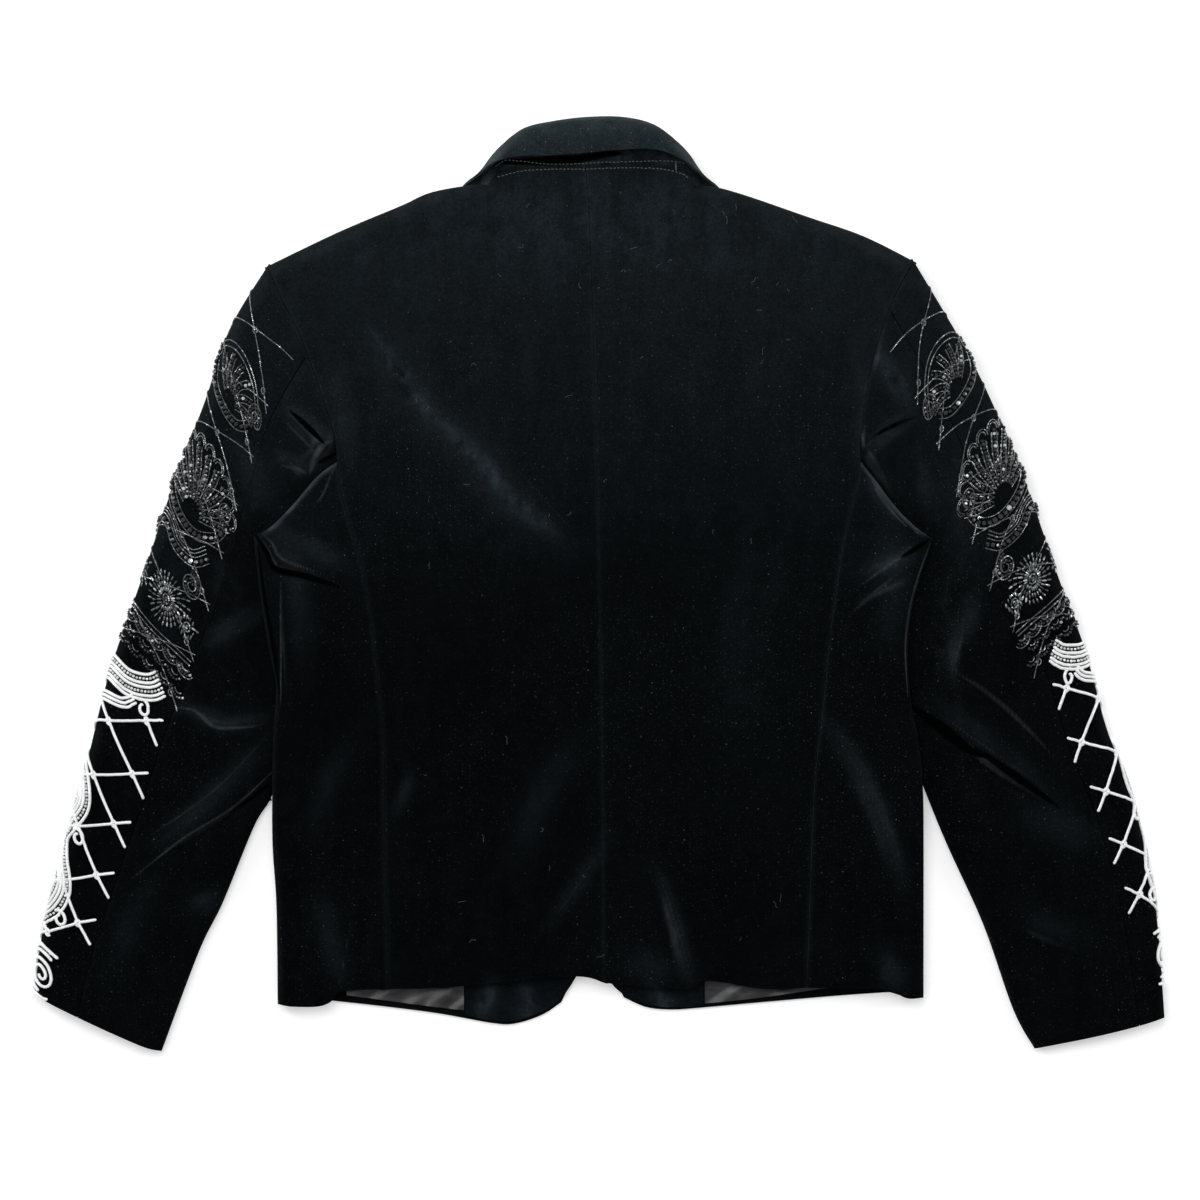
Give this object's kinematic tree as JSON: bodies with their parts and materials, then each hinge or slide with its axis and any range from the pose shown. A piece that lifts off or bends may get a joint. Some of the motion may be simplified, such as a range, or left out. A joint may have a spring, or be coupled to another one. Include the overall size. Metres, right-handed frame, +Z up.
{
  "type": "velvet blazer",
  "caption": "Black velvet blazer laid face down, back upward, with a turned collar, two-piece sleeves trimmed in black and white beadwork, and curved fronts.",
  "frame": {"origin": "middle of the outline as seen from above, on the surface the blazer lies on", "axes": "+X towards the wearer's right sleeve, +Y towards the collar, +Z up from the surface, out of the back of the blazer"},
  "size_m": [0.9046, 0.7468, 0.041],
  "materials": {
    "velvet": "short velvet pile",
    "lining": "satin lining",
    "black_beads": "cut jet beads",
    "white_beads": "pearl-white beads and cord",
    "button": "plain"
  },
  "bodies": {
    "root": {"back_left": "velvet", "side_left": "velvet", "front_left": "velvet", "upper_sleeve_left": "velvet", "under_sleeve_left": "velvet", "facing_left": "velvet", "lapel_left": "velvet", "back_right": "velvet", "side_right": "velvet", "front_right": "velvet", "upper_sleeve_right": "velvet", "under_sleeve_right": "velvet", "facing_right": "velvet", "lapel_right": "velvet", "collar_fall": "velvet", "collar_stand": "velvet", "lining_left": "lining", "lining_right": "lining", "black_fan_left": "black_beads", "black_fan_right": "black_beads", "white_crescent_left": "white_beads", "white_crescent_right": "white_beads", "front_button": "button"}
  },
  "joints": []
}
